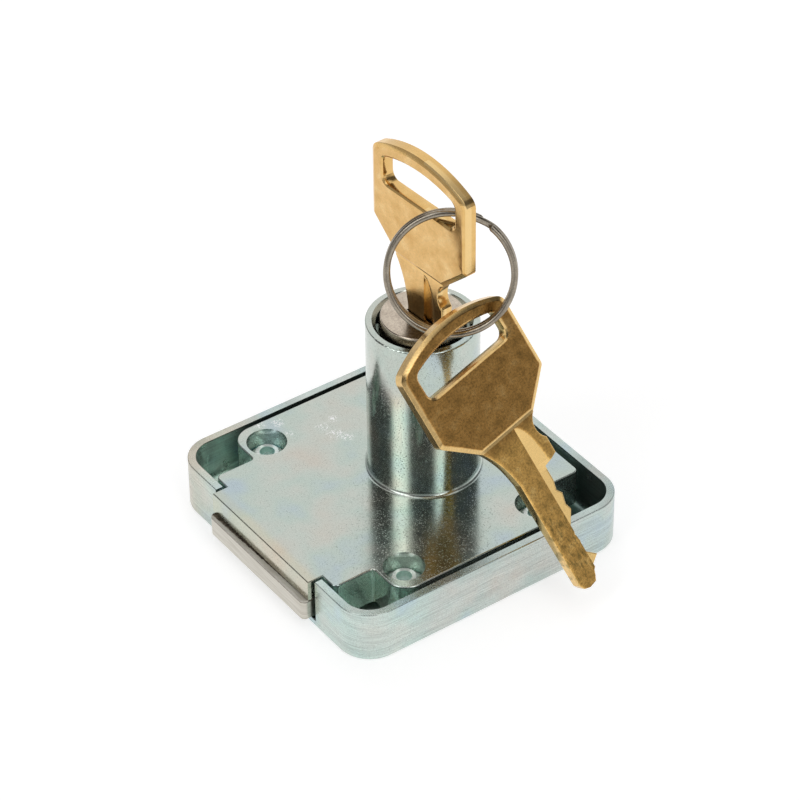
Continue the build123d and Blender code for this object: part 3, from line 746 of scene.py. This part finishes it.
bodyFinish = {
    **plateFinish,
    "patches": ("#b4c2c8", "#bbc7bf", "#c3c8c0", "#c7c3b9"),
    "grainHeight": 0.0028,
    "roughness": 0.14,
    "warmFront": (-31.0, -32.6),
    "warm": (1.06, 0.99, 0.90, 1.0),
    "belowDeck": (9.62, 9.5),
    "behindApron": (-32.6, -31.6),
    "scuffs": [
        (-17.7, -8.6, 1.6), (-14.8, -7.9, 2.1), (-12.9, -6.6, 1.5), (-18.4, -5.9, 1.3),
        (-25.0, -17.0, 1.9), (-23.2, -14.2, 1.5), (-19.6, -14.2, 1.0),
    ],
    "scuffHeight": frame["record"]["mounts"][1]["pos_m"][2],
    "fleckSize": 0.28,
    "fleckColour": (1.0, 1.0, 1.0, 1.0),
    "fleckStops": [(0.54, 0.0), (0.62, 1.0)],
    "fleckRoughness": 0.4,
}


# Distances from the middle of the case, sideways and from front to back
def fromCaseMiddle(tree, x, y, finish):
    lengthways = addNode(tree, "Math", (y, finish["caseMiddle"] * mm), operation="SUBTRACT")[0]
    return [addNode(tree, "Math", (way,), operation="ABSOLUTE")[0] for way in (x, lengthways)]


# Linished sides of the case: long fine lines along the walls, warmer towards the bolt's left
# and darker towards the back, a painted shade that leaves the front corner the brightest. The
# inside is what lies nearer the middle than the inner wall, a box with round corners, and
# between the floor and the rim
def linishedSides(tree, place, axes, finish, colour):
    x, y, z = axes
    length, spacing = finish["lineLength"], finish["lineSpacing"]
    lines = noiseField(tree, place, (length, length, spacing), 3.0, finish["lineTurn"])
    shades = addNode(tree, "ValToRGB", {"Fac": lines}, finish["lineShades"])["Color"]
    pastBox = []
    for away in fromCaseMiddle(tree, x, y, finish):
        past = addNode(tree, "Math", (away, finish["cornerBox"] * mm), operation="SUBTRACT")[0]
        pastBox.append(addNode(tree, "Math", (past, 0.0), operation="MAXIMUM")[0])
    reach = slantLength(tree, *pastBox)
    low, high = finish["insideBetween"]
    inside = overlap(
        tree,
        addNode(tree, "Math", (reach, finish["innerReach"] * mm), operation="LESS_THAN")[0],
        addNode(tree, "Math", (z, high * mm), operation="LESS_THAN")[0],
        addNode(tree, "Math", (z, low * mm), operation="GREATER_THAN")[0],
    )
    towardsLeft = fadeBetween(tree, x, *finish["warmFrom"])
    towardsFront = fadeBetween(tree, y, *finish["warmFront"])
    towardsBack = fadeBetween(tree, y, *finish["paintedBackShadeFrom"])
    warmer, paintedBackShade = (
        addNode(tree, "Math", (share, inside), operation="SUBTRACT", use_clamp=True)[0]
        for share in (overlap(tree, towardsLeft, towardsFront), towardsBack)
    )
    colour = layered(
        tree, colour, (1.0, shades, "MULTIPLY"), (warmer, finish["warm"], "MULTIPLY"),
        (paintedBackShade, finish["paintedBackShade"], "MULTIPLY"),
    )
    return colour, lines, inside


# Deck and apron of the body: patches of white flecks where the plate is scraped, warmer on
# the apron's front. The inside is what lies below the deck and behind the apron
def scuffedDeck(tree, place, axes, finish, colour, roughness):
    scuffed = 0.0
    for scuffX, scuffY, size in finish["scuffs"]:
        centre = (scuffX * mm, scuffY * mm, finish["scuffHeight"])
        away = addNode(tree, "VectorMath", (place, centre), operation="DISTANCE")["Value"]
        near = fadeBetween(tree, away, size, 0.2 * size)
        scuffed = addNode(tree, "Math", (near, scuffed), operation="MAXIMUM")[0]
    flecks = noiseField(tree, place, finish["fleckSize"], 1.0, shift=5.1)
    flecks = addNode(tree, "ValToRGB", {"Fac": flecks}, finish["fleckStops"])["Color"]
    flecks = overlap(tree, flecks, scuffed)
    onApron = fadeBetween(tree, axes["Y"], *finish["warmFront"])
    colour = layered(
        tree, colour, (flecks, finish["fleckColour"], "MIX"),
        (onApron, finish["warm"], "MULTIPLY"),
    )
    roughness = addedTo(tree, roughness, (flecks, finish["fleckRoughness"]))
    belowDeck = fadeBetween(tree, axes["Z"], *finish["belowDeck"])
    behindApron = fadeBetween(tree, axes["Y"], *finish["behindApron"])
    return colour, roughness, overlap(tree, belowDeck, behindApron)


# Painted highlight on the tops of the screw posts: a pale, less metallic ring round each hole,
# on what stands as high as the posts
def paintedPostHighlight(tree, z, sideways, lengthways, finish):
    postX, postY = finish["postPlace"]
    besideX = addNode(tree, "Math", (sideways, postX * mm), operation="SUBTRACT")[0]
    besideY = addNode(tree, "Math", (lengthways, postY * mm), operation="SUBTRACT")[0]
    away = slantLength(tree, besideX, besideY)
    return overlap(
        tree,
        addNode(tree, "Math", (away, finish["postReach"] * mm), operation="LESS_THAN")[0],
        addNode(tree, "Math", (away, finish["postHole"] * mm), operation="GREATER_THAN")[0],
        addNode(tree, "Math", (z, finish["postTop"] * mm), operation="GREATER_THAN")[0],
    )


def zincPlate(name, finish, onCase):
    material, tree, place = startMaterial(name)
    axes = addNode(tree, "SeparateXYZ", (place,))
    x, y, z = axes
    patches = noiseField(tree, place, finish["patchSize"], 2.0)
    patchStops = list(zip(finish["patchPlaces"], finish["patches"]))
    colour = addNode(tree, "ValToRGB", {"Fac": patches}, patchStops)["Color"]
    grain = noiseField(tree, place, finish["grainSize"], 3.0)
    shades = addNode(tree, "ValToRGB", {"Fac": grain}, finish["grainShades"])["Color"]
    colour = layered(tree, colour, (1.0, shades, "MULTIPLY"))
    relief = [(grain, finish["grainHeight"])]
    roughness = wipedRoughness(
        tree, place, finish["smearSize"], (0, 0, 20), 3.7, finish["roughness"],
    )
    # Matt specks of crystal, which catch light where the plate mirrors the dark
    specks = noiseField(tree, place, finish["speckSize"], 2.5, shift=8.3)
    specks = addNode(tree, "ValToRGB", {"Fac": specks}, finish["speckStops"])["Color"]
    roughness = addedTo(tree, roughness, (specks, finish["speckRoughness"]))
    if onCase:
        colour, lines, inside = linishedSides(tree, place, axes, finish, colour)
        relief.append((lines, finish["lineHeight"]))
    else:
        colour, roughness, inside = scuffedDeck(tree, place, axes, finish, colour, roughness)
    # Painted shade: the narrow gap beside the body, from the middle of a side to the posts, where
    # no light comes out, is painted near black, and so is the back right corner inside, which
    # mirrors the dark body
    sideways, lengthways = fromCaseMiddle(tree, x, y, finish)
    gap = overlap(
        tree, fadeBetween(tree, sideways, *finish["gapBetween"]), inside,
        fadeBetween(tree, lengthways, *finish["gapEnds"]), finish["gapShade"],
    )
    cornerPaintedShade = overlap(
        tree, fadeBetween(tree, x, *finish["cornerShadeSide"]), inside,
        fadeBetween(tree, y, *finish["cornerShadeBack"]), finish["cornerShadeStrength"],
    )
    paintedShade = addNode(tree, "Math", (gap, cornerPaintedShade), operation="MAXIMUM")[0]
    # Painted reflection tint on the inside, then the painted shade mixed in towards near black
    colour = layered(
        tree, colour, (inside, finish["paintedInsideReflection"], "MULTIPLY"), (paintedShade, finish["dark"], "MIX"),
    )
    # The plate inside is matt: it scatters some light instead of mirroring all of it
    roughness = addedTo(tree, roughness, (inside, finish["insideRoughness"]))
    metallic = addedTo(tree, 1.0, (inside, -finish["mattShare"]))
    if onCase:
        # Painted highlight on the tops of the screw posts
        postHighlight = paintedPostHighlight(tree, z, sideways, lengthways, finish)
        colour = layered(tree, colour, (postHighlight, linearColour(finish["postHighlightColour"]), "MIX"))
        metallic = addedTo(tree, metallic, (postHighlight, -finish["postHighlightMatt"]))
    endMaterial(tree, colour, metallic, roughness, relief)
    return material


# Brass of the keys, tumbled smooth: the key in the lock is bright with faint clouds, and the
# spare one is tarnished brown by hands. On both, the side walls and bevels are lighter, partly
# metal rubbed clean and partly painted highlight. Sizes on the blade are heights from its tip
# and widths from its middle, as the pieces carry them in ownPlace
keyFinish = {
    "bowFrom": 30.3,
    "faceLevels": (1.1, 0.2),
    "edgeBelow": (0.02, 0.09),
    # Lighter side walls and bevels: partly rubbed clean metal, partly painted highlight
    "edgeShare": 0.6,
    "bladeFrom": (31.0, 27.0),
    "slidUpTo": (17.0, 13.0),
    "slidFrom": (0.5, 3.0),
    "streakSize": (0.5, 1.6, 1.6),
    "streakStops": [(0.50, 0.0), (0.64, 1.0)],
    "streakShare": 0.55,
    "fluteFrom": (1.2, 1.35),
    "fluteBelow": (1.09, 1.03),
    "fluteFront": (-0.2, 0.2),
    "fluteShare": 0.8,
    "cleanSmoothness": 0.8,
    "smearSize": 2.2,
    "waveSize": 2.8,
}
insertedBrass = {
    **keyFinish,
    "clouds": [(0.26, "#cfa15f"), (0.44, "#d9b070"), (0.56, "#dfb677"), (0.74, "#e8c78d")],
    "cloudSize": 2.6,
    "cloudShift": 1.3,
    "bladeTone": (1.0, 1.0, 1.0, 1.0),
    "edge": "#e6be79",
    "flute": "#f0cf92",
    "streak": "#c79a55",
    "roughness": 0.17,
    "grainSize": 0.32,
    "grainHeight": 0.0020,
    "grainShades": [(0.30, 0.92), (0.52, 1.0), (0.72, 1.05)],
    "waveHeight": 0.010,
}
spareBrass = {
    **keyFinish,
    "clouds": [(0.26, "#96733f"), (0.44, "#ae8449"), (0.56, "#b98d4f"), (0.76, "#c9a164")],
    "cloudSize": 2.0,
    "cloudShift": 7.7,
    "bladeTone": (1.58, 1.72, 1.72, 1.0),
    "edge": "#efd093",
    "flute": "#e6c280",
    "streak": "#5d5a33",
    "roughness": 0.2,
    "grainSize": 0.34,
    "grainHeight": 0.0026,
    "grainShades": [(0.28, 0.66), (0.50, 1.0), (0.72, 1.22)],
    "waveHeight": 0.008,
}


def keyBrass(name, finish):
    material, tree, place = startMaterial(name, "ownPlace")
    across, up, outOf = addNode(tree, "SeparateXYZ", (place,))
    clouds = noiseField(
        tree, place, finish["cloudSize"], 6.0, (20, 35, 10), finish["cloudShift"],
    )
    colour = addNode(tree, "ValToRGB", {"Fac": clouds}, finish["clouds"])["Color"]
    # Side walls and their bevels lighter, partly metal rubbed clean and partly painted highlight:
    # everything lower than the flat faces, which stand further out on the bow than on the blade
    bladeLevel, bowRise = finish["faceLevels"]
    onBow = addNode(tree, "Math", (up, finish["bowFrom"] * mm), operation="GREATER_THAN")[0]
    faceLevel = addedTo(tree, bladeLevel * mm, (onBow, bowRise * mm))
    fromMiddle = addNode(tree, "Math", (outOf,), operation="ABSOLUTE")[0]
    lower = addNode(tree, "Math", (faceLevel, fromMiddle), operation="SUBTRACT")[0]
    edgeWearAndHighlight = overlap(tree, fadeBetween(tree, lower, *finish["edgeBelow"]), finish["edgeShare"])
    # Dark streaks where the blade has slid in locks, and a clean floor in its wide flute
    streaks = noiseField(tree, place, finish["streakSize"], 3.0, (0, 0, 12), 6.2)
    streaks = addNode(tree, "ValToRGB", {"Fac": streaks}, finish["streakStops"])["Color"]
    slid = overlap(
        tree, fadeBetween(tree, up, *finish["slidUpTo"]),
        fadeBetween(tree, up, *finish["slidFrom"]),
    )
    streaks = overlap(tree, streaks, slid, finish["streakShare"])
    inFlute = overlap(
        tree, fadeBetween(tree, across, *finish["fluteFrom"]),
        fadeBetween(tree, outOf, *finish["fluteBelow"]),
        fadeBetween(tree, outOf, *finish["fluteFront"]),
    )
    # Fine grain of the tumbling, weaker where the metal is clean, over soft waves
    grain = noiseField(tree, place, finish["grainSize"], 3.0)
    shades = addNode(tree, "ValToRGB", {"Fac": grain}, finish["grainShades"])["Color"]
    cleanest = addNode(tree, "Math", (inFlute, edgeWearAndHighlight), operation="MAXIMUM")[0]
    grainShare = addedTo(tree, 1.0, (cleanest, -finish["cleanSmoothness"]))
    waves = noiseField(tree, place, finish["waveSize"], 1.0, shift=4.4)
    colour = layered(
        tree, colour,
        (fadeBetween(tree, up, *finish["bladeFrom"]), finish["bladeTone"], "MULTIPLY"),
        (edgeWearAndHighlight, linearColour(finish["edge"]), "MIX"),
        (streaks, linearColour(finish["streak"]), "MIX"),
        (overlap(tree, inFlute, finish["fluteShare"]), linearColour(finish["flute"]), "MIX"),
        (grainShare, shades, "MULTIPLY"),
    )
    roughness = wipedRoughness(
        tree, place, finish["smearSize"], (0, 40, 0), 2.9, finish["roughness"],
    )
    endMaterial(tree, colour, 1.0, roughness, [
        (overlap(tree, grain, grainShare), finish["grainHeight"]),
        (waves, finish["waveHeight"]),
    ])
    return material


# Small metal parts: their colours, roughness, and the size and height of their grain
smallMetals = {
    # Nickel plated brass, turned: a warm grey half mirror
    "nickelPlatedBrass": ("#b8ab9b", "#cfc2b1", 0.2, 0.3, 0.003),
    # Stamped steel under a film of oil: dark grey and dull
    "oiledInnerSteel": ("#77736c", "#928d84", 0.35, 0.3, 0.002),
    # Hardened and tempered steel wire: brown grey, with a low shine
    "hardenedRingSteel": ("#8c8376", "#a69d8e", 0.26, 0.25, 0.002),
    # Hard drawn spring wire: cool grey, with a brighter shine
    "springWire": ("#8b8f94", "#aab0b5", 0.25, 0.1, 0.002),
}
smallGrainShades = [(0.30, 0.86), (0.52, 1.0), (0.72, 1.08)]


# Mottled metal: clouds eight times as large as the grain, and the grain as shade and height
def smallMetal(name):
    dark, light, roughness, grainSize, grainHeight = smallMetals[name]
    material, tree, place = startMaterial(name)
    mottle = noiseField(tree, place, grainSize * 8, 4.0)
    colour = addNode(tree, "ValToRGB", {"Fac": mottle}, [(0.32, dark), (0.66, light)])["Color"]
    grain = noiseField(tree, place, grainSize, 2.0)
    shades = addNode(tree, "ValToRGB", {"Fac": grain}, smallGrainShades)["Color"]
    colour = layered(tree, colour, (1.0, shades, "MULTIPLY"))
    endMaterial(tree, colour, 1.0, roughness, [(grain, grainHeight)])
    return material


# Bolt of plated steel: pale brushed front, and a top edge left rough and brown by shearing
boltFinish = {
    "lineShades": [(0.32, "#bdb8ac"), (0.62, "#d2cec4")],
    "lineSpacing": 0.18,
    "lineLength": 6.0,
    "lineHeight": 0.004,
    "tornSize": 0.5,
    "tornShades": [(0.34, 0.35), (0.50, 0.85), (0.66, 1.25)],
    "tornHeight": 0.05,
    "brown": "#8a7e70",
    "brownRagged": 0.5,
    "brownAbove": (5.66, 5.84),
    "brownBack": (-31.9, -32.4),
    "wornTop": (5.55, 5.70),
    "wornFront": (-33.75, -33.95),
    "wornSlant": 0.028,
    "wornRagged": 0.3,
    "wornMatt": 0.65,
    "roughness": 0.3,
    "brownRoughness": 0.2,
    "wornRoughness": 0.2,
}


def boltSteel(name, finish):
    material, tree, place = startMaterial(name)
    x, y, z = addNode(tree, "SeparateXYZ", (place,))
    length, spacing = finish["lineLength"], finish["lineSpacing"]
    lines = noiseField(tree, place, (length, length, spacing), 3.0, (0, 1.5, 0))
    colour = addNode(tree, "ValToRGB", {"Fac": lines}, finish["lineShades"])["Color"]
    torn = noiseField(tree, place, finish["tornSize"], 4.0)
    # The front of the top is worn matt and pale, in a strip that widens towards +X
    wornEdge = addedTo(tree, y, (x, -finish["wornSlant"]), (torn, -finish["wornRagged"] * mm))
    worn = overlap(
        tree, fadeBetween(tree, wornEdge, *finish["wornFront"]),
        fadeBetween(tree, z, *finish["wornTop"]),
    )
    brownEdge = addedTo(tree, z, (torn, finish["brownRagged"] * mm))
    brown = overlap(
        tree, fadeBetween(tree, brownEdge, *finish["brownAbove"]),
        addNode(tree, "Math", (1.0, worn), operation="SUBTRACT")[0],
        fadeBetween(tree, y, *finish["brownBack"]),
    )
    scale = addNode(tree, "ValToRGB", {"Fac": torn}, finish["tornShades"])["Color"]
    scale = layered(tree, scale, (1.0, linearColour(finish["brown"]), "MULTIPLY"))
    colour = layered(tree, colour, (brown, scale, "MIX"))
    roughness = addedTo(
        tree, finish["roughness"], (brown, finish["brownRoughness"]),
        (worn, finish["wornRoughness"]),
    )
    metallic = addedTo(tree, 1.0, (worn, -finish["wornMatt"]))
    endMaterial(tree, colour, metallic, roughness, [
        (overlap(tree, torn, brown), finish["tornHeight"]),
        (lines, finish["lineHeight"]),
    ])
    return material


finishes = {
    "case_shell": zincPlate("zincPlatedSteelLinished", caseFinish, True),
    "lock_body": zincPlate("zincPlatedDieCasting", bodyFinish, False),
    "bolt": boltSteel("platedBoltSteel", boltFinish),
    "cylinder_plug": smallMetal("nickelPlatedBrass"),
}
innerSteel = smallMetal("oiledInnerSteel")
newPieces = [
    (insertedPieces, keyBrass("tumbledBrass", insertedBrass)),
    (sparePieces, keyBrass("handledBrass", spareBrass)),
    ([ringWire], smallMetal("hardenedRingSteel")),
    (springs, smallMetal("springWire")),
]
for pieces, material in newPieces:
    for piece in pieces:
        piece.data.materials.append(material)
for nodeName, node in frame["nodes"].items():
    node.data.materials.clear()
    node.data.materials.append(finishes.get(nodeName, innerSteel))
print("finishes given")
